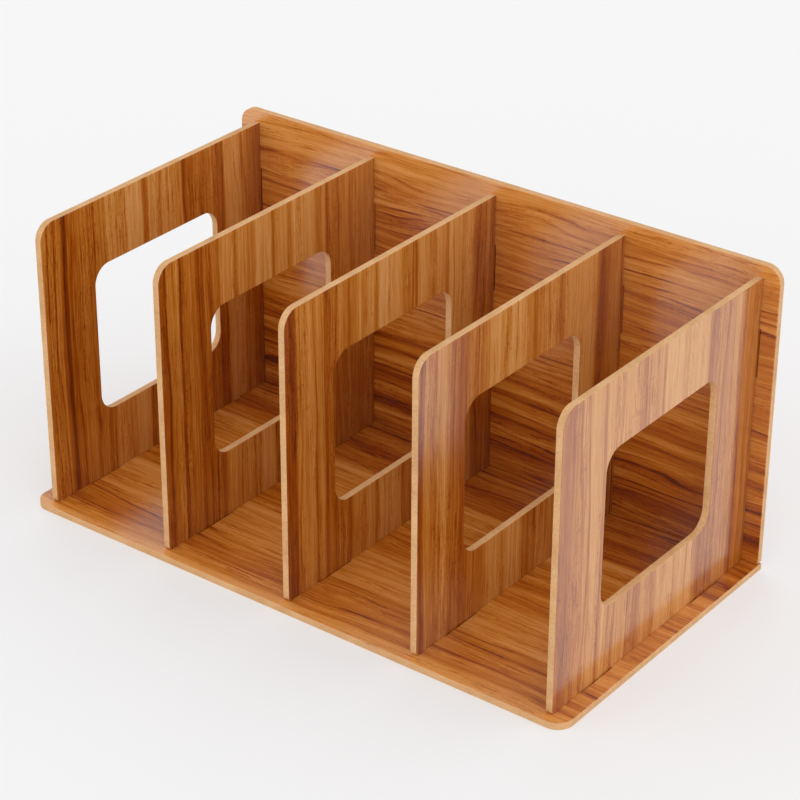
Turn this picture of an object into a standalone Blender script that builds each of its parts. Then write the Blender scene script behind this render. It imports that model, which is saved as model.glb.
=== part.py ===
"""Desktop magazine file holder: seven laminated boards that slot together with no fasteners.

A base board lies flat. Five equal uprights with a window in each stand on it and part four
compartments, and a back board stands on its rear edge. Tabs on the uprights pass through slots in the
base and in the back, and two feet on the back drop into notches in the rear edge of the base.

Units are metres. X runs along the back, +Y towards the back, +Z up. The origin is the middle of the
footprint, on the surface that the holder stands on.
"""

import math

import bmesh
import bpy

# Driving dimensions
BOARD = 0.005  # thickness of every board
GAP = 0.0003  # kept between boards that bear on each other
COMPARTMENTS = 4
COMPARTMENT_WIDTH = 0.100  # clear width between two uprights
SIDE_OVERHANG = 0.0125  # base and back beyond the outer faces of the end panels
FRONT_MARGIN = 0.007  # base in front of the uprights
UPRIGHT_DEPTH = 0.228  # front edge of an upright to the front face of the back
UPRIGHT_HEIGHT = 0.213  # above the top face of the base
BACK_HEIGHT = 0.222  # above the top face of the base
WINDOW_MARGIN = 0.050  # board left on all four sides of a window

# Corner radii of the board outlines
WINDOW_RADIUS = 0.014
UPRIGHT_TOP_RADIUS = 0.013
PLAN_RADIUS = 0.012  # front corners of the base and top corners of the back
EASED_RADIUS = 0.003  # bottom corners of the uprights' front and of the back

# Tabs and their slots
TAB_LENGTH = 0.035
SLOT_PLAY = 0.0006  # between a tab and each side of its slot
BASE_TAB_SETBACK = 0.0315  # nearer end of each base tab, from the upright's front and rear edges
BACK_TAB_BOTTOM = 0.1405  # lower end of the tab into the back, above the top face of the base
BACK_FOOT_COMPARTMENTS = (0, 3)  # compartments behind which the back has a foot

ARC_STEPS = 10  # segments in a quarter circle

# Derived sizes and places
PITCH = COMPARTMENT_WIDTH + BOARD
WIDTH = COMPARTMENTS * PITCH + BOARD + 2 * SIDE_OVERHANG
DEPTH = FRONT_MARGIN + UPRIGHT_DEPTH + BOARD
FRONT_Y = -DEPTH / 2 + FRONT_MARGIN  # front edges of the uprights
REAR_Y = DEPTH / 2  # rear face of the back, flush with the rear edge of the base
UPRIGHT_X = [(index - COMPARTMENTS / 2) * PITCH for index in range(COMPARTMENTS + 1)]
TAB_REACH = BOARD - GAP  # a tab stops this far into the board that it passes through
BASE_TABS = [
    (BASE_TAB_SETBACK, BASE_TAB_SETBACK + TAB_LENGTH),
    (UPRIGHT_DEPTH - BASE_TAB_SETBACK - TAB_LENGTH, UPRIGHT_DEPTH - BASE_TAB_SETBACK),
]
BACK_TAB = (BACK_TAB_BOTTOM, BACK_TAB_BOTTOM + TAB_LENGTH)
FOOT_X = [(UPRIGHT_X[index] + UPRIGHT_X[index + 1]) / 2 for index in BACK_FOOT_COMPARTMENTS]

# Node names of the uprights, from the left
UPRIGHT_NAMES = [
    "left_end_panel",
    "left_divider",
    "middle_divider",
    "right_divider",
    "right_end_panel",
]

# Mean colour of the teak-grained foil on each board, linear RGB
FOIL_COLOURS = {
    "base_panel": (0.42, 0.15, 0.03),
    "back_panel": (0.40, 0.14, 0.03),
    "left_end_panel": (0.33, 0.10, 0.02),
    "left_divider": (0.36, 0.12, 0.02),
    "middle_divider": (0.41, 0.15, 0.04),
    "right_divider": (0.40, 0.15, 0.04),
    "right_end_panel": (0.46, 0.20, 0.07),
}
FOIL_ROUGHNESS = 0.35

# A board is drawn in its own plane (u, v) and is BOARD thick along its normal.
UPRIGHT_TURN = (math.pi / 2, 0, math.pi / 2)  # u along +Y, v up, normal along +X
BACK_TURN = (math.pi / 2, 0, 0)  # u along +X, v up, normal along -Y


def clear_scene():
    for item in list(bpy.data.objects):
        bpy.data.objects.remove(item, do_unlink=True)


def outline(corners):
    """Points of a right-angled outline. A corner is (u, v) or, where it is rounded, (u, v, radius)."""
    points = []
    for index, corner in enumerate(corners):
        before, after = corners[index - 1], corners[(index + 1) % len(corners)]
        u, v = corner[:2]
        radius = corner[2] if len(corner) > 2 else 0
        if not radius:
            points.append((u, v))
            continue
        arriving = unit(u - before[0], v - before[1])
        leaving = unit(after[0] - u, after[1] - v)
        centre_u = u + radius * (leaving[0] - arriving[0])
        centre_v = v + radius * (leaving[1] - arriving[1])
        for step in range(ARC_STEPS + 1):
            angle = math.pi / 2 * step / ARC_STEPS
            along, across = radius * math.sin(angle), radius * math.cos(angle)
            points.append(
                (
                    centre_u + arriving[0] * along - leaving[0] * across,
                    centre_v + arriving[1] * along - leaving[1] * across,
                )
            )
    return points


def unit(u, v):
    length = math.hypot(u, v)
    return u / length, v / length


def rectangle(u_range, v_range, radius=0):
    (u0, u1), (v0, v1) = u_range, v_range
    return [(u0, v0, radius), (u1, v0, radius), (u1, v1, radius), (u0, v1, radius)]


def grown(span, play=SLOT_PLAY):
    return span[0] - play, span[1] + play


def about(middle, length):
    return middle - length / 2, middle + length / 2


def extruded_mesh(name, outlines, low, high):
    """One mesh holding a prism for each outline, from low to high along the board's normal."""
    shape = bmesh.new()
    for corners in outlines:
        floor = shape.faces.new([shape.verts.new((u, v, low)) for u, v in outline(corners)])
        floor.normal_update()
        grown_part = bmesh.ops.extrude_face_region(shape, geom=[floor])["geom"]
        lifted = [item for item in grown_part if isinstance(item, bmesh.types.BMVert)]
        bmesh.ops.translate(shape, verts=lifted, vec=(0, 0, high - low))
    bmesh.ops.recalc_face_normals(shape, faces=shape.faces)
    mesh = bpy.data.meshes.new(name)
    shape.to_mesh(mesh)
    shape.free()
    return mesh


def foil_material(name):
    material = bpy.data.materials.new(name + "_foil")
    material.use_nodes = True
    shader = material.node_tree.nodes["Principled BSDF"]
    shader.inputs["Base Color"].default_value = (*FOIL_COLOURS[name], 1)
    shader.inputs["Roughness"].default_value = FOIL_ROUGHNESS
    shader.inputs["Metallic"].default_value = 0
    return material


def add_object(name, mesh, location, turn, holder):
    item = bpy.data.objects.new(name, mesh)
    bpy.context.scene.collection.objects.link(item)
    item.location = location
    item.rotation_euler = turn
    item.parent = holder
    return item


def add_board(name, corners, openings, location, turn, holder):
    """A board with this outline, its openings cut right through it."""
    board = add_object(name, extruded_mesh(name, [corners], 0, BOARD), location, turn, holder)
    board.data.materials.append(foil_material(name))
    cutter_mesh = extruded_mesh(name + "_cutter", openings, -BOARD, 2 * BOARD)
    cutter = add_object(name + "_cutter", cutter_mesh, location, turn, holder)
    cutter.hide_render = True
    cutter.display_type = "WIRE"
    cut = board.modifiers.new("openings", "BOOLEAN")
    cut.operation = "DIFFERENCE"
    cut.solver = "EXACT"
    cut.object = cutter
    return board


def add_base(holder):
    """The base: rounded at the front, with two notches in its rear edge for the feet of the back."""
    half_width, half_depth = WIDTH / 2, DEPTH / 2
    notch_floor = half_depth - BOARD - SLOT_PLAY
    corners = [(-half_width, -half_depth, PLAN_RADIUS), (half_width, -half_depth, PLAN_RADIUS)]
    corners.append((half_width, half_depth))
    for foot_x in reversed(FOOT_X):
        left, right = grown(about(foot_x, TAB_LENGTH))
        corners += [(right, half_depth), (right, notch_floor), (left, notch_floor), (left, half_depth)]
    corners.append((-half_width, half_depth))
    slots = []
    for x in UPRIGHT_X:
        for start, end in BASE_TABS:
            slot_length = grown((FRONT_Y + start, FRONT_Y + end))
            slots.append(rectangle(grown(about(x, BOARD)), slot_length))
    add_board("base_panel", corners, slots, (0, 0, 0), (0, 0, 0), holder)


def add_back(holder):
    """The back: stands on the base, flush with its rear edge, with a slot for each upright's tab."""
    half_width = WIDTH / 2
    corners = [(-half_width, GAP, EASED_RADIUS)]
    for foot_x in FOOT_X:
        left, right = about(foot_x, TAB_LENGTH)
        corners += [(left, GAP), (left, -TAB_REACH), (right, -TAB_REACH), (right, GAP)]
    corners.append((half_width, GAP, EASED_RADIUS))
    corners.append((half_width, BACK_HEIGHT, PLAN_RADIUS))
    corners.append((-half_width, BACK_HEIGHT, PLAN_RADIUS))
    slots = [rectangle(grown(about(x, BOARD)), grown(BACK_TAB)) for x in UPRIGHT_X]
    add_board("back_panel", corners, slots, (0, REAR_Y, BOARD), BACK_TURN, holder)


def add_upright(name, x, holder):
    """An upright: two tabs down into the base, one into the back, and a window in the middle."""
    rear = UPRIGHT_DEPTH - GAP
    tab_end = UPRIGHT_DEPTH + TAB_REACH
    corners = [(0, GAP, EASED_RADIUS)]
    for start, end in BASE_TABS:
        corners += [(start, GAP), (start, -TAB_REACH), (end, -TAB_REACH), (end, GAP)]
    corners.append((rear, GAP))
    low, high = BACK_TAB
    corners += [(rear, low), (tab_end, low), (tab_end, high), (rear, high)]
    corners.append((rear, UPRIGHT_HEIGHT))
    corners.append((0, UPRIGHT_HEIGHT, UPRIGHT_TOP_RADIUS))
    window = rectangle(
        (WINDOW_MARGIN, UPRIGHT_DEPTH - WINDOW_MARGIN),
        (WINDOW_MARGIN, UPRIGHT_HEIGHT - WINDOW_MARGIN),
        WINDOW_RADIUS,
    )
    location = (x - BOARD / 2, FRONT_Y, BOARD)
    add_board(name, corners, [window], location, UPRIGHT_TURN, holder)


def build_file_holder():
    holder = bpy.data.objects.new("file_holder", None)
    bpy.context.scene.collection.objects.link(holder)
    add_base(holder)
    add_back(holder)
    for name, x in zip(UPRIGHT_NAMES, UPRIGHT_X):
        add_upright(name, x, holder)


clear_scene()
build_file_holder()
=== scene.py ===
"""Looks of the desktop magazine file holder: seven laminated boards in a bright, soft studio.

Each board is modelled again in the place of its CAD solid, in metres and in the same frame, with finely
rounded corners and eased arrises, painted paler along them as abraded foil and a painted highlight. Its two
faces carry a satin foil with printed teak grain, and its cut edges show the bare tan core. The foil of the
uprights also carries painted shade, darker towards the bottom.
"""

import math

import bmesh
import bpy
from mathutils import Matrix, Quaternion, Vector
from mathutils.geometry import tessellate_polygon


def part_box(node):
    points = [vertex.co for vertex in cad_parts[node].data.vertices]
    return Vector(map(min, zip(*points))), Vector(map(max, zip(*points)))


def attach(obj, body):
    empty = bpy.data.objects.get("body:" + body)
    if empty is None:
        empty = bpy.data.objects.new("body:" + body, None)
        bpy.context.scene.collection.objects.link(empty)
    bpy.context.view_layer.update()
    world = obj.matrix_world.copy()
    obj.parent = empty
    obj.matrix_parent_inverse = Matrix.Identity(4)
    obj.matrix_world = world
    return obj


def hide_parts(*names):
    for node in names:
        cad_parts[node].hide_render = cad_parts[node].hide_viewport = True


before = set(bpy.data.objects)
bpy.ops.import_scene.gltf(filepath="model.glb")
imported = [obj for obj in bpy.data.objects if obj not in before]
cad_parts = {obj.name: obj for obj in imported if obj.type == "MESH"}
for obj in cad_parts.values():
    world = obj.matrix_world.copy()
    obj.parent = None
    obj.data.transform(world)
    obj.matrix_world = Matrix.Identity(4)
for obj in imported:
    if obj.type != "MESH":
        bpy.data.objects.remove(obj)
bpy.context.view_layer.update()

# Sizes of the boards, in metres, as the CAD has them
WINDOW_MARGIN = 0.050
WINDOW_RADIUS = 0.014
UPRIGHT_TOP_RADIUS = 0.013
PLAN_RADIUS = 0.012
EASED_RADIUS = 0.003
TAB_LENGTH = 0.035
SLOT_PLAY = 0.0006
BASE_TAB_SETBACK = 0.0315
BACK_TAB_BOTTOM = 0.1405
BACK_FEET = (0, 3)

# Fine shape of the boards
SEAT = 0.0001  # gap left between boards that bear on each other
ARC_STEPS = 24  # segments in a rounded corner
ARRIS = 0.0004  # radius of the rubbed edges
ARRIS_STEPS = 3
FOIL_STEPS = 2  # steps of the arris that the foil still covers
RUB_AND_HIGHLIGHT_BAND = 0.0012  # strip of foil beside an edge that the abraded paleness and painted highlight can reach
ARRIS_RUB_AND_HIGHLIGHT = 0.6  # paleness of the foil where the arris starts, 1 where the foil ends: abraded foil and a painted highlight
SHARP_ANGLE = math.radians(40)  # faces that meet at more than this are shaded with a crease

UPRIGHT_NAMES = [
    "left_end_panel",
    "left_divider",
    "middle_divider",
    "right_divider",
    "right_end_panel",
]

# Places read from the frame
BASE_LOW, BASE_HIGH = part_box("base_panel")
BACK_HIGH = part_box("back_panel")[1]
BOARD = BASE_HIGH.z
HALF_WIDTH = BASE_HIGH.x
UPRIGHT_LOW, UPRIGHT_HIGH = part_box("middle_divider")
UPRIGHT_X = [sum(corner.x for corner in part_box(name)) / 2 for name in UPRIGHT_NAMES]
FRONT_Y = UPRIGHT_LOW.y
UPRIGHT_DEPTH = BACK_HIGH.y - BOARD - FRONT_Y
UPRIGHT_HEIGHT = UPRIGHT_HIGH.z - BOARD
BACK_HEIGHT = BACK_HIGH.z - BOARD
TAB_REACH = BOARD - UPRIGHT_LOW.z
BASE_TABS = [
    (BASE_TAB_SETBACK, BASE_TAB_SETBACK + TAB_LENGTH),
    (UPRIGHT_DEPTH - BASE_TAB_SETBACK - TAB_LENGTH, UPRIGHT_DEPTH - BASE_TAB_SETBACK),
]
BACK_TAB = (BACK_TAB_BOTTOM, BACK_TAB_BOTTOM + TAB_LENGTH)
FOOT_X = [(UPRIGHT_X[index] + UPRIGHT_X[index + 1]) / 2 for index in BACK_FEET]

# A board is drawn in its own plane (u, v) with its normal n: the columns are where u, v and n point.
LYING = Matrix(((1, 0, 0), (0, 1, 0), (0, 0, 1)))
FACING_FRONT = Matrix(((1, 0, 0), (0, 0, -1), (0, 1, 0)))
FACING_RIGHT = Matrix(((0, 0, 1), (1, 0, 0), (0, 1, 0)))

# Material slots of a board's mesh
NEAR_FACE, FAR_FACE, EDGE = range(3)


# Outlines


def unit(u, v):
    length = math.hypot(u, v)
    return u / length, v / length


def outline(corners):
    """Points of a right-angled outline. A corner is (u, v) or, where it is rounded, (u, v, radius)."""
    points = []
    for index, corner in enumerate(corners):
        before, after = corners[index - 1], corners[(index + 1) % len(corners)]
        u, v = corner[:2]
        radius = corner[2] if len(corner) > 2 else 0
        if not radius:
            points.append((u, v))
            continue
        arriving = unit(u - before[0], v - before[1])
        leaving = unit(after[0] - u, after[1] - v)
        centre_u = u + radius * (leaving[0] - arriving[0])
        centre_v = v + radius * (leaving[1] - arriving[1])
        for step in range(ARC_STEPS + 1):
            angle = math.pi / 2 * step / ARC_STEPS
            along, across = radius * math.sin(angle), radius * math.cos(angle)
            points.append(
                (
                    centre_u + arriving[0] * along - leaving[0] * across,
                    centre_v + arriving[1] * along - leaving[1] * across,
                )
            )
    return points


def rectangle(u_range, v_range, radius=0):
    (u0, u1), (v0, v1) = u_range, v_range
    return [(u0, v0, radius), (u1, v0, radius), (u1, v1, radius), (u0, v1, radius)]


def grown(span, play=SLOT_PLAY):
    return span[0] - play, span[1] + play


def about(middle, length):
    return middle - length / 2, middle + length / 2


def turned_left(loop):
    """The loop with its points in the order that keeps the inside of its outline on the left."""
    area = sum(a[0] * b[1] - b[0] * a[1] for a, b in zip(loop, loop[1:] + loop[:1]))
    return loop if area > 0 else loop[::-1]


def inset(loop, distance):
    """The loop moved by a distance to the left of its direction, with mitred corners."""
    moved = []
    for index, (u, v) in enumerate(loop):
        before, after = loop[index - 1], loop[(index + 1) % len(loop)]
        arriving = unit(u - before[0], v - before[1])
        leaving = unit(after[0] - u, after[1] - v)
        normal_u, normal_v = -arriving[1] - leaving[1], arriving[0] + leaving[0]
        spread = 1 + arriving[0] * leaving[0] + arriving[1] * leaving[1]
        moved.append((u + distance * normal_u / spread, v + distance * normal_v / spread))
    return moved


# Board meshes


def edge_profile():
    """(inset, height, paleness) of each ring round a board's edge, from its near face to its far one. The
    paleness is abraded foil and a painted highlight along the arris.
    """
    near = []
    for step in range(ARRIS_STEPS + 1):
        turn = math.pi / 2 * step / ARRIS_STEPS
        # paleness of each ring: abraded foil and a painted highlight, none where the arris meets the bare
        # core wall
        rub_and_highlight = 0 if step == ARRIS_STEPS else ARRIS_RUB_AND_HIGHLIGHT + (1 - ARRIS_RUB_AND_HIGHLIGHT) * step / FOIL_STEPS
        near.append((ARRIS * (1 - math.sin(turn)), ARRIS * (1 - math.cos(turn)), rub_and_highlight))
    rings = [(RUB_AND_HIGHLIGHT_BAND, BOARD, 0)]
    rings += [(margin, BOARD - depth, rub_and_highlight) for margin, depth, rub_and_highlight in near]
    rings += [(margin, depth, rub_and_highlight) for margin, depth, rub_and_highlight in reversed(near)]
    return rings + [(RUB_AND_HIGHLIGHT_BAND, 0, 0)]


def board_mesh(name, corners, openings):
    """A closed board with eased arrises and its openings cut through.

    Each of its faces has the material slot of the near foil, the far foil or the bare edge.
    """
    loops = [turned_left(outline(corners))]
    loops += [turned_left(outline(opening))[::-1] for opening in openings]
    profile = edge_profile()
    shape = bmesh.new()
    # paleness of every vertex, for the painted highlight and abraded foil along the arrises
    rub_and_highlight = shape.verts.layers.float.new("rub_and_highlight")
    rings = []
    for margin, height, rub_and_highlight_level in profile:
        level = []
        for loop in loops:
            ring = [shape.verts.new((u, v, height)) for u, v in inset(loop, margin)]
            for vertex in ring:
                vertex[rub_and_highlight] = rub_and_highlight_level
            level.append(ring)
        rings.append(level)
    last = len(profile) - 2
    for step, (upper, lower) in enumerate(zip(rings, rings[1:])):
        slot = NEAR_FACE if step <= FOIL_STEPS else FAR_FACE if step >= last - FOIL_STEPS else EDGE
        for above, below in zip(upper, lower):
            for index in range(len(above)):
                corner = [above[index - 1], above[index], below[index], below[index - 1]]
                shape.faces.new(corner).material_index = slot
    for level, slot in ((rings[0], NEAR_FACE), (rings[-1], FAR_FACE)):
        flat = [vertex for ring in level for vertex in ring]
        for triangle in tessellate_polygon([[vertex.co for vertex in ring] for ring in level]):
            shape.faces.new([flat[index] for index in triangle]).material_index = slot
    bmesh.ops.recalc_face_normals(shape, faces=shape.faces)
    for face in shape.faces:
        face.smooth = True
    for edge in shape.edges:
        edge.smooth = edge.calc_face_angle(0) < SHARP_ANGLE
    mesh = bpy.data.meshes.new(name)
    shape.to_mesh(mesh)
    shape.free()
    return mesh


def add_board(name, corners, openings, origin, turn, faces):
    """A finished board in the place of its CAD node."""
    mesh = board_mesh(name + "_looks", corners, openings)
    mesh.transform(Matrix.Translation(origin) @ turn.to_4x4())
    for material in (*faces, core_material()):
        mesh.materials.append(material)
    board = bpy.data.objects.new(name + "_board", mesh)
    bpy.context.scene.collection.objects.link(board)
    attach(board, "root")
    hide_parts(name)
    return board


def add_base():
    notch_floor = BASE_HIGH.y - BOARD - SLOT_PLAY
    corners = [(-HALF_WIDTH, BASE_LOW.y, PLAN_RADIUS), (HALF_WIDTH, BASE_LOW.y, PLAN_RADIUS)]
    corners.append((HALF_WIDTH, BASE_HIGH.y))
    for foot_x in reversed(FOOT_X):
        left, right = grown(about(foot_x, TAB_LENGTH))
        corners += [(right, BASE_HIGH.y), (right, notch_floor), (left, notch_floor), (left, BASE_HIGH.y)]
    corners.append((-HALF_WIDTH, BASE_HIGH.y))
    slots = []
    for x in UPRIGHT_X:
        for start, end in BASE_TABS:
            slots.append(rectangle(grown(about(x, BOARD)), grown((FRONT_Y + start, FRONT_Y + end))))
    faces = (
        foil_material("base_top_foil", "Y", BASE_LOW.y, BASE_BANDS, HORIZONTAL, seed=11),
        foil_material("base_under_foil", "Y", BASE_LOW.y, mirrored(BACK_BANDS), HORIZONTAL, seed=12),
    )
    add_board("base_panel", corners, slots, (0, 0, 0), LYING, faces)


def add_back():
    corners = [(-HALF_WIDTH, SEAT, EASED_RADIUS)]
    for foot_x in FOOT_X:
        left, right = about(foot_x, TAB_LENGTH)
        corners += [(left, SEAT), (left, -TAB_REACH), (right, -TAB_REACH), (right, SEAT)]
    corners.append((HALF_WIDTH, SEAT, EASED_RADIUS))
    corners.append((HALF_WIDTH, BACK_HEIGHT, PLAN_RADIUS))
    corners.append((-HALF_WIDTH, BACK_HEIGHT, PLAN_RADIUS))
    slots = [rectangle(grown(about(x, BOARD)), grown(BACK_TAB)) for x in UPRIGHT_X]
    faces = (
        foil_material("back_front_foil", "Z", BOARD, BACK_BANDS, HORIZONTAL, seed=21),
        foil_material("back_rear_foil", "Z", BOARD, mirrored(BASE_BANDS), HORIZONTAL, seed=22),
    )
    origin = (0, BACK_HIGH.y, BOARD)
    add_board("back_panel", corners, slots, origin, FACING_FRONT, faces)


def add_upright(number, name, x):
    rear = UPRIGHT_DEPTH - SEAT
    tab_end = UPRIGHT_DEPTH + TAB_REACH
    corners = [(0, SEAT, EASED_RADIUS)]
    for start, end in BASE_TABS:
        corners += [(start, SEAT), (start, -TAB_REACH), (end, -TAB_REACH), (end, SEAT)]
    corners.append((rear, SEAT))
    low, high = BACK_TAB
    corners += [(rear, low), (tab_end, low), (tab_end, high), (rear, high)]
    corners.append((rear, UPRIGHT_HEIGHT))
    corners.append((0, UPRIGHT_HEIGHT, UPRIGHT_TOP_RADIUS))
    window = rectangle(
        (WINDOW_MARGIN, UPRIGHT_DEPTH - WINDOW_MARGIN),
        (WINDOW_MARGIN, UPRIGHT_HEIGHT - WINDOW_MARGIN),
        WINDOW_RADIUS,
    )
    bands = UPRIGHT_BANDS[name]
    other_bands = mirrored(UPRIGHT_BANDS[UPRIGHT_NAMES[number - 2]])
    faces = (
        foil_material(name + "_right_foil", "Y", FRONT_Y, bands, VERTICAL, seed=31 + number),
        foil_material(name + "_left_foil", "Y", FRONT_Y, other_bands, VERTICAL, seed=41 + number),
    )
    origin = (x - BOARD / 2, FRONT_Y, BOARD)
    add_board(name, corners, [window], origin, FACING_RIGHT, faces)


# Printed grain

# Colours from the darkest streak to the palest wood, linear RGB
BROWN_TONES = [
    (0.00, (0.113, 0.014, 0.0003)),
    (0.20, (0.235, 0.038, 0.0005)),
    (0.40, (0.371, 0.094, 0.0033)),
    (0.60, (0.509, 0.183, 0.0250)),
    (0.80, (0.618, 0.279, 0.0690)),
    (1.00, (0.710, 0.370, 0.1380)),
]
AMBER_TONES = [
    (0.00, (0.117, 0.010, 0.0002)),
    (0.20, (0.245, 0.034, 0.0002)),
    (0.40, (0.390, 0.085, 0.0013)),
    (0.60, (0.530, 0.155, 0.0080)),
    (0.80, (0.660, 0.249, 0.0373)),
    (1.00, (0.767, 0.341, 0.0867)),
]

# Broad bands across each board, laid out one by one: (millimetres from the front or bottom edge, tone)
UPRIGHT_BANDS = {
    "left_end_panel": [
        (0, 0.49), (16, 0.53), (19, 0.29), (21, 0.09), (23, 0.13), (25, 0.41), (34, 0.45), (38, 0.57),
        (44, 0.49), (46, 0.35), (48, 0.53), (63, 0.46), (65, 0.70), (76, 0.68), (84, 0.58), (86, 0.80),
        (100, 0.80), (102, 0.34), (106, 0.40), (108, 0.72), (134, 0.70), (142, 0.58), (144, 0.08),
        (146, 0.44), (164, 0.40), (172, 0.56), (179, 0.30), (186, 0.42), (188, 0.72), (204, 0.70),
        (208, 0.52), (228, 0.28),
    ],
    "left_divider": [
        (0, 0.31), (4, 0.25), (6, 0.09), (8, 0.49), (18, 0.55), (20, 0.13), (22, 0.41), (36, 0.45),
        (39, 0.19), (41, 0.39), (56, 0.40), (59, 0.36), (61, 0.58), (72, 0.66), (78, 0.46), (80, 0.64),
        (97, 0.62), (99, 0.78), (114, 0.76), (117, 0.38), (121, 0.68), (133, 0.66), (136, 0.46),
        (139, 0.74), (161, 0.70), (165, 0.44), (172, 0.58), (175, 0.26), (178, 0.52), (194, 0.56),
        (204, 0.50), (228, 0.50),
    ],
    "middle_divider": [
        (0, 0.36), (5, 0.12), (9, 0.23), (12, 0.58), (28, 0.66), (30, 0.43), (33, 0.68), (38, 0.53),
        (40, 0.32), (46, 0.51), (50, 0.39), (60, 0.54), (65, 0.34), (69, 0.58), (80, 0.64), (91, 0.74),
        (94, 0.42), (97, 0.78), (121, 0.78), (124, 0.36), (128, 0.62), (138, 0.40), (140, 0.68),
        (149, 0.66), (156, 0.50), (165, 0.66), (173, 0.50), (176, 0.74), (200, 0.72), (205, 0.34),
        (216, 0.48), (228, 0.30),
    ],
    "right_divider": [
        (0, 0.48), (3, 0.22), (6, 0.26), (8, 0.54), (19, 0.50), (22, 0.68), (30, 0.66), (34, 0.40),
        (40, 0.52), (47, 0.34), (53, 0.40), (58, 0.56), (62, 0.48), (74, 0.60), (78, 0.78), (91, 0.76),
        (94, 0.62), (98, 0.82), (112, 0.80), (118, 0.50), (124, 0.46), (131, 0.52), (134, 0.68),
        (144, 0.66), (154, 0.46), (160, 0.66), (172, 0.70), (194, 0.74), (198, 0.30), (206, 0.26),
        (212, 0.46), (228, 0.44),
    ],
    "right_end_panel": [
        (0, 0.45), (3, 0.33), (8, 0.37), (12, 0.49), (24, 0.59), (44, 0.71), (47, 0.45), (50, 0.73),
        (62, 0.65), (65, 0.53), (68, 0.69), (80, 0.67), (87, 0.49), (91, 0.37), (95, 0.47), (98, 0.67),
        (108, 0.59), (114, 0.55), (117, 0.79), (134, 0.79), (139, 0.61), (143, 0.79), (158, 0.77),
        (164, 0.57), (168, 0.33), (173, 0.41), (178, 0.51), (203, 0.55), (208, 0.32), (212, 0.47),
        (228, 0.45),
    ],
}
BACK_BANDS = [
    (0, 0.44), (11, 0.52), (16, 0.30), (19, 0.10), (22, 0.38), (27, 0.54), (37, 0.52), (42, 0.20),
    (45, 0.44), (50, 0.66), (58, 0.60), (62, 0.34), (65, 0.58), (69, 0.62), (72, 0.28), (76, 0.50),
    (86, 0.70), (106, 0.66), (118, 0.56), (133, 0.70), (145, 0.50), (149, 0.68), (158, 0.56),
    (161, 0.34), (164, 0.66), (172, 0.52), (176, 0.72), (190, 0.70), (222, 0.84),
]
BASE_BANDS = [
    (0, 0.92), (8, 0.86), (11, 0.65), (20, 0.65), (23, 0.42), (27, 0.60), (44, 0.66), (46, 0.51),
    (50, 0.81), (78, 0.79), (90, 0.71), (98, 0.67), (104, 0.51), (108, 0.65), (115, 0.51), (122, 0.67),
    (144, 0.74), (178, 0.81), (181, 0.45), (194, 0.48), (200, 0.27), (205, 0.38), (214, 0.54),
    (240, 0.46),
]


class Grain:
    """How the printed grain lies on a board, and the painted shade that darkens it towards one end."""

    def __init__(self, along, tones, sway, length, streak, cloud, fleck, mark, ring, flame, line, fade=0.0):
        self.along = along  # axis that the grain follows
        self.tones = tones  # its colours
        self.sway = sway  # how far its streaks wander, in millimetres
        self.length = length  # mean length of a fine streak, in millimetres
        self.streak = streak  # range of its tone
        self.cloud = cloud  # range of tone of the soft bands a few millimetres wide
        self.fleck = fleck  # mean length of a dark fleck, in millimetres
        self.mark = mark  # how dark it is
        self.ring = ring  # mean width of a growth ring, in millimetres
        self.flame = flame  # how many rings a peak spans
        self.line = line  # how dark the late wood of a ring can be
        self.fade = fade  # painted shade: how much the tone rises over a metre along the grain, darker towards the bottom of an upright


VERTICAL = Grain(
    "Z",
    BROWN_TONES,
    sway=5,
    length=130,
    streak=0.60,
    cloud=0.45,
    fleck=34,
    mark=0.17,
    ring=7.5,
    flame=1.2,
    line=0.36,
    # painted shade: the uprights darker towards the bottom
    fade=0.4,
)
HORIZONTAL = Grain(
    "X",
    AMBER_TONES,
    sway=8,
    length=60,
    streak=0.68,
    cloud=0.80,
    fleck=30,
    mark=0.24,
    ring=5.5,
    flame=1.8,
    line=0.62,
)


def mirrored(bands):
    """The bands in the opposite order, for the far face of a board."""
    width = bands[-1][0]
    return [(width - place, tone) for place, tone in reversed(bands)]


# Materials

COLOUR_MIX_INPUTS = (0, 6, 7)  # sockets of a Mix node set to colour: share, first and second colour
COLOUR_MIX_OUTPUT = 2


class Nodes:
    """Builds the nodes of one tree."""

    def __init__(self, tree):
        self.tree = tree

    def put(self, value, socket):
        if isinstance(value, bpy.types.NodeSocket):
            self.tree.links.new(value, socket)
        else:
            socket.default_value = value

    def add(self, kind, inputs=None, **settings):
        node = self.tree.nodes.new("ShaderNode" + kind)
        for key, value in settings.items():
            setattr(node, key, value)
        for key, value in (inputs or {}).items():
            self.put(value, node.inputs[key])
        return node

    def math(self, operation, *values):
        node = self.add("Math", dict(enumerate(values)), operation=operation)
        return node.outputs["Value"]

    def total(self, *values):
        result = values[0]
        for value in values[1:]:
            result = self.math("ADD", result, value)
        return result

    def ease(self, value, low, high, start=0.0, end=1.0):
        """Runs smoothly from start to end as the value goes from low to high."""
        inputs = {"Value": value, "From Min": low, "From Max": high, "To Min": start, "To Max": end}
        return self.add("MapRange", inputs, interpolation_type="SMOOTHSTEP").outputs["Result"]

    def ramp(self, value, stops):
        node = self.add("ValToRGB", {"Fac": value})
        elements = node.color_ramp.elements
        for element, (place, colour) in zip(elements, (stops[0], stops[-1])):
            element.position, element.color = place, (*colour, 1)
        for place, colour in stops[1:-1]:
            elements.new(place).color = (*colour, 1)
        return node.outputs["Color"]

    def grey_ramp(self, value, stops):
        return self.ramp(value, [(place, (level, level, level)) for place, level in stops])


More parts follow.
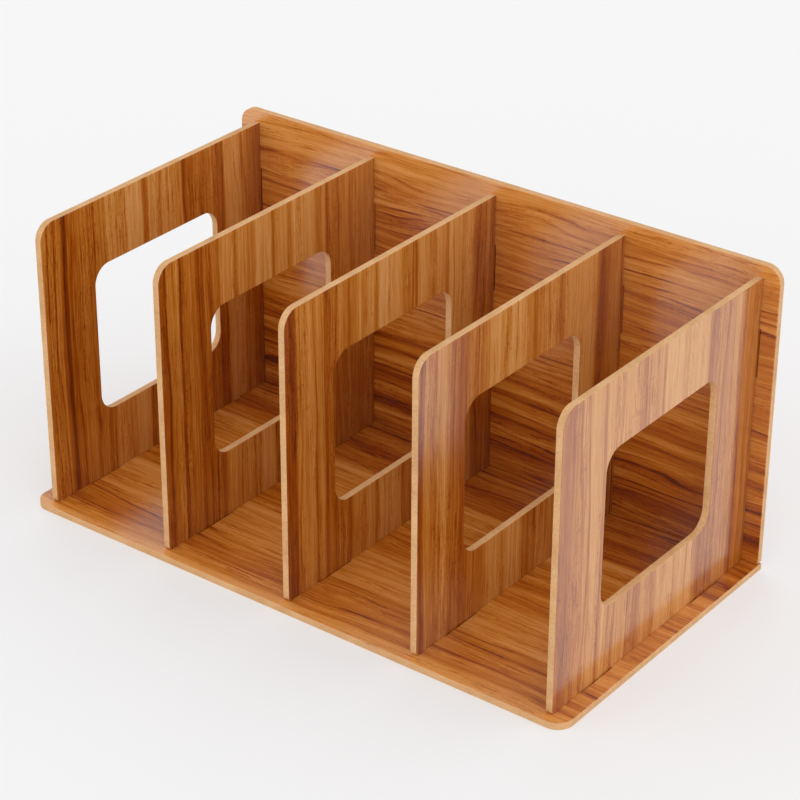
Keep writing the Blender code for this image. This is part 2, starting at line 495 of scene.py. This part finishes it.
class Paint(Nodes):
    """One material and the nodes that colour it. Lengths on its surface are in millimetres."""

    def __init__(self, name):
        self.material = bpy.data.materials.new(name)
        self.material.use_nodes = True
        super().__init__(self.material.node_tree)
        self.surface = self.tree.nodes["Principled BSDF"]

    def point(self):
        """(x, y, z) of a point of the surface, in millimetres."""
        axes = self.add("SeparateXYZ", {"Vector": self.add("TexCoord").outputs["Object"]}).outputs
        return {axis: self.math("MULTIPLY", axes[axis], 1000) for axis in "XYZ"}

    def noise(self, place, size, seed, detail=2.0, roughness=0.5, reach=1.0):
        """Noise from -reach/2 to reach/2, with features of that (across, along) size."""
        point = self.add("CombineXYZ", {"X": place[0], "Y": place[1]}).outputs["Vector"]
        mapping = {"Vector": point, "Scale": (1 / size[0], 1 / size[1], 1), "Location": (seed, 0, seed)}
        spread = self.add("Mapping", mapping).outputs["Vector"]
        inputs = {"Vector": spread, "Scale": 1, "Detail": detail, "Roughness": roughness}
        cloud = self.add("TexNoise", inputs).outputs["Fac"]
        return self.math("MULTIPLY_ADD", cloud, reach, -reach / 2)

    def band_tone(self, place, bands):
        """Tone of the bands at a place in millimetres."""
        width = bands[-1][0]
        stops = [(mark / width, tone) for mark, tone in bands]
        return self.grey_ramp(self.math("DIVIDE", place, width), stops)

    def mix(self, share, first, second):
        """The first colour where the share is 0, the second where it is 1."""
        node = self.add("Mix", data_type="RGBA")
        for number, value in zip(COLOUR_MIX_INPUTS, (share, first, second)):
            self.put(value, node.inputs[number])
        return node.outputs[COLOUR_MIX_OUTPUT]

    def rub_and_highlight(self):
        """1 along the arris, 0 away from it: how far the surface is painted paler there, as abraded foil
        and a painted highlight.
        """
        return self.add("Attribute", attribute_name="rub_and_highlight").outputs["Fac"]


RUB_AND_HIGHLIGHT_FOIL = (0.54, 0.31, 0.13, 1)  # paler colour along an edge: print abraded off, and a painted highlight
RUB_AND_HIGHLIGHT_SHARE = 0.8  # how much of the print that paler colour covers there
HAIR_SHARE = 0.6  # how dark a short hairline is beside a sliver of grain
PORE_MARK = 0.22  # how dark a pore is
SHADE_RISE_MIDDLE = 0.11  # metres along the grain where the rise in tone of the painted shade is nothing
MARK_LIGHTENING = 0.10  # share of the darkness of the marks that the ground makes up for
GROUND_LIFT = 0.01  # added to the tone everywhere
FOIL_ROUGHNESS = 0.26
FOIL_RELIEF = 0.00004  # height of the embossed grain
COAT_IOR = 2.0
COAT_ROUGHNESS = 0.22


def foil_material(name, across, start, bands, grain, seed):
    """Satin foil printed with teak grain: bands, growth rings, fine streaks and pores."""
    paint = Paint(name)
    point = paint.point()
    # Place across and along the grain, bent as its streaks wander
    flat = (paint.math("SUBTRACT", point[across], start * 1000), point[grain.along])
    drift = paint.noise(flat, (140, 320), seed, reach=2 * grain.sway)
    sway = paint.noise(flat, (24, 90), seed + 1, reach=grain.sway)
    shiver = paint.noise(flat, (4, 24), seed + 2, reach=0.9)
    bent = (paint.total(flat[0], drift, sway, shiver), flat[1])

    # Dark late wood of the growth rings, darker in some rings and places than in others
    peaks = paint.noise(flat, (26, 190), seed + 3, detail=1, reach=2 * grain.flame)
    rings = paint.math("ADD", paint.math("DIVIDE", bent[0], grain.ring), peaks)
    phase = paint.math("FRACT", rings)
    inputs = {"W": paint.math("ADD", paint.math("FLOOR", rings), seed * 10)}
    dark = paint.add("TexWhiteNoise", inputs, noise_dimensions="1D").outputs["Value"]
    late = paint.math("MULTIPLY", paint.ease(phase, 0.5, 0.95), paint.ease(phase, 0.95, 1.0, 1.0, 0.0))
    patchy = paint.ease(paint.noise(bent, (7, 0.8 * grain.length), seed + 4), -0.12, 0.12, 0.2, 1.0)
    line = paint.math("MULTIPLY", paint.math("MULTIPLY", late, patchy), paint.math("POWER", dark, 2.0))

    # Soft bands, streaks and fibres, then slivers, hairlines and pores that come in patches
    band = paint.noise(bent, (7, 5 * grain.length), seed + 6, detail=2, reach=grain.cloud)
    streak = paint.noise(bent, (1.7, grain.length), seed + 7, roughness=0.6, reach=grain.streak)
    fibre = paint.noise(bent, (0.8, 18), seed + 8, detail=2, reach=0.36)
    coarse = paint.ease(paint.noise(bent, (14, 120), seed + 10), -0.06, 0.10, 0.2, 1.0)
    sliver = paint.ease(paint.noise(bent, (1.3, grain.fleck), seed + 12, detail=1), 0.07, 0.15)
    hair = paint.ease(paint.noise(bent, (0.8, 0.4 * grain.fleck), seed + 13, detail=1), 0.07, 0.14)
    fleck = paint.math("MULTIPLY", paint.math("MULTIPLY_ADD", hair, HAIR_SHARE, sliver), coarse)
    dash = paint.noise(bent, (0.45, 4.5), seed + 9, detail=1)
    pore = paint.math("MULTIPLY", paint.ease(dash, 0.08, 0.16), coarse)

    # Colour
    # Painted shade: the tone rises along the grain, so the uprights are darker towards the bottom
    lift = MARK_LIGHTENING * grain.mark + GROUND_LIFT - SHADE_RISE_MIDDLE * grain.fade
    fade = paint.math("MULTIPLY_ADD", flat[1], grain.fade / 1000, lift)
    tone = paint.total(paint.band_tone(bent[0], bands), fade, band, streak, fibre)
    tone = paint.math("MULTIPLY_ADD", line, -grain.line, tone)
    tone = paint.math("MULTIPLY_ADD", fleck, -grain.mark, tone)
    tone = paint.math("MULTIPLY_ADD", pore, -PORE_MARK, tone)
    # Paler foil along the arrises, broken by noise: abraded print and a painted highlight
    rub_and_highlight_noise = paint.noise(flat, (2.5, 9), seed + 11, detail=3)
    rub_and_highlight_level = paint.ease(paint.math("ADD", paint.rub_and_highlight(), rub_and_highlight_noise), 0.8, 1.2)
    rub_and_highlight_mix = paint.math("MULTIPLY", rub_and_highlight_level, RUB_AND_HIGHLIGHT_SHARE)
    colour = paint.mix(rub_and_highlight_mix, paint.ramp(tone, grain.tones), RUB_AND_HIGHLIGHT_FOIL)
    paint.put(colour, paint.surface.inputs["Base Color"])

    # Gloss and relief
    dull = (paint.math("MULTIPLY", pore, 0.15), paint.math("MULTIPLY", fibre, 0.2))
    rough = paint.total(FOIL_ROUGHNESS, *dull)
    paint.put(rough, paint.surface.inputs["Roughness"])
    relief = paint.math("SUBTRACT", fibre, pore)
    bump = paint.add("Bump", {"Height": relief, "Strength": 0.10, "Distance": FOIL_RELIEF})
    paint.put(bump.outputs["Normal"], paint.surface.inputs["Normal"])
    paint.surface.inputs["Specular IOR Level"].default_value = 0.0
    paint.surface.inputs["Coat Weight"].default_value = 1.0
    paint.surface.inputs["Coat IOR"].default_value = COAT_IOR
    paint.surface.inputs["Coat Roughness"].default_value = COAT_ROUGHNESS
    return paint.material


def core_material():
    """Pale pressed wood fibre, bare at the cut edges and painted paler along the arrises, as abrasion and a
    painted highlight.
    """
    existing = bpy.data.materials.get("board_core")
    if existing:
        return existing
    paint = Paint("board_core")
    point = paint.add("TexCoord").outputs["Object"]
    inputs = {"Vector": point, "Scale": 900, "Detail": 3, "Roughness": 0.6}
    speck = paint.add("TexNoise", inputs).outputs["Fac"]
    inputs = {"Vector": point, "Scale": 60, "Detail": 2}
    cloud = paint.add("TexNoise", inputs).outputs["Fac"]
    tone = paint.total(paint.math("MULTIPLY", speck, 0.6), paint.math("MULTIPLY", cloud, 0.4))
    # Paler core along the arrises: abrasion and a painted highlight
    tone = paint.math("MULTIPLY_ADD", paint.rub_and_highlight(), 0.08, tone)
    colours = [(0.3, (0.49, 0.25, 0.095)), (0.5, (0.63, 0.355, 0.16)), (0.7, (0.73, 0.46, 0.23))]
    paint.put(paint.ramp(tone, colours), paint.surface.inputs["Base Color"])
    bump = paint.add("Bump", {"Height": speck, "Strength": 0.3, "Distance": 0.00008})
    paint.put(bump.outputs["Normal"], paint.surface.inputs["Normal"])
    paint.surface.inputs["Roughness"].default_value = 0.7
    paint.surface.inputs["Specular IOR Level"].default_value = 0.2
    return paint.material


def plain_material(name, colour, roughness):
    paint = Paint(name)
    paint.surface.inputs["Base Color"].default_value = (*colour, 1)
    paint.surface.inputs["Roughness"].default_value = roughness
    return paint.material


# Studio

FLOOR_SIZE = 40.0
FLOOR_COLOUR = (0.55, 0.55, 0.555)
FLOOR_ROUGHNESS = 0.75
FLOOR_GLOW = 0.33  # light of its own, which keeps the shadows pale
ROOM_LIGHT = 2.5  # strength of the brightest light that a ramp below can give
# Light from each side of the room, by how steeply it comes down: (0 level to 1 overhead, share)
FRONT_WALL = [(0.0, 0.30), (0.25, 0.34), (0.45, 0.54), (0.75, 0.66), (0.90, 0.0)]
RIGHT_WALL = [(0.0, 0.20), (0.25, 0.34), (0.45, 0.60), (0.70, 0.82), (0.80, 0.82), (0.90, 0.0)]
FAR_WALLS = [(0.0, 0.44), (0.25, 0.42), (0.35, 0.22), (0.55, 0.22), (0.65, 0.42), (0.80, 0.44), (0.90, 0.0)]
CEILING = [(0.75, 0.0), (0.90, 0.28)]
CAMERA_AIM = Vector((0.0048, 0.0043, 0.1073))
CAMERA_AZIMUTH = math.radians(37.09)
CAMERA_ELEVATION = math.radians(28.59)
CAMERA_ROLL = math.radians(0.29)
CAMERA_DISTANCE = 1.7568
CAMERA_LENS = 117.54


def add_floor():
    mesh = bpy.data.meshes.new("floor")
    half = FLOOR_SIZE / 2
    corners = [(-half, -half, 0), (half, -half, 0), (half, half, 0), (-half, half, 0)]
    mesh.from_pydata(corners, [], [(0, 1, 2, 3)])
    material = plain_material("floor_white", FLOOR_COLOUR, FLOOR_ROUGHNESS)
    surface = material.node_tree.nodes["Principled BSDF"]
    surface.inputs["Emission Color"].default_value = (1, 1, 1, 1)
    surface.inputs["Emission Strength"].default_value = FLOOR_GLOW
    mesh.materials.append(material)
    floor = bpy.data.objects.new("floor", mesh)
    bpy.context.scene.collection.objects.link(floor)


def add_world():
    """A white room with soft light from every side, brightest high on the right and in front."""
    world = bpy.data.worlds.new("studio")
    world.use_nodes = True
    room = Nodes(world.node_tree)
    axes = room.add("SeparateXYZ", {"Vector": room.add("TexCoord").outputs["Generated"]}).outputs
    right = room.math("MAXIMUM", axes["X"], 0.0)
    left = room.math("MAXIMUM", room.math("MULTIPLY", axes["X"], -1.0), 0.0)
    rear = room.math("MAXIMUM", axes["Y"], 0.0)
    front = room.math("MAXIMUM", room.math("MULTIPLY", axes["Y"], -1.0), 0.0)
    sides = ((front, FRONT_WALL), (right, RIGHT_WALL), (left, FAR_WALLS), (rear, FAR_WALLS))
    walls = [room.math("MULTIPLY", side, room.grey_ramp(axes["Z"], wall)) for side, wall in sides]
    light = room.total(room.grey_ramp(axes["Z"], CEILING), *walls)
    background = room.tree.nodes["Background"]
    room.put(room.math("MULTIPLY", light, ROOM_LIGHT), background.inputs["Strength"])
    background.inputs["Color"].default_value = (1, 1, 1, 1)
    bpy.context.scene.world = world


def add_camera():
    back = Vector(
        (
            math.sin(CAMERA_AZIMUTH) * math.cos(CAMERA_ELEVATION),
            -math.cos(CAMERA_AZIMUTH) * math.cos(CAMERA_ELEVATION),
            math.sin(CAMERA_ELEVATION),
        )
    )
    lens = bpy.data.cameras.new("camera")
    lens.lens = CAMERA_LENS
    camera = bpy.data.objects.new("camera", lens)
    bpy.context.scene.collection.objects.link(camera)
    camera.location = CAMERA_AIM + back * CAMERA_DISTANCE
    level = (-back).to_track_quat("-Z", "Y")
    roll = Quaternion((0, 0, 1), CAMERA_ROLL)
    camera.rotation_euler = (level @ roll).to_euler()
    bpy.context.scene.camera = camera


def build_boards():
    add_base()
    add_back()
    for number, (name, x) in enumerate(zip(UPRIGHT_NAMES, UPRIGHT_X)):
        add_upright(number, name, x)


def build_studio():
    add_camera()
    add_floor()
    add_world()
    bpy.context.scene.view_settings.view_transform = "Standard"


build_studio()
build_boards()
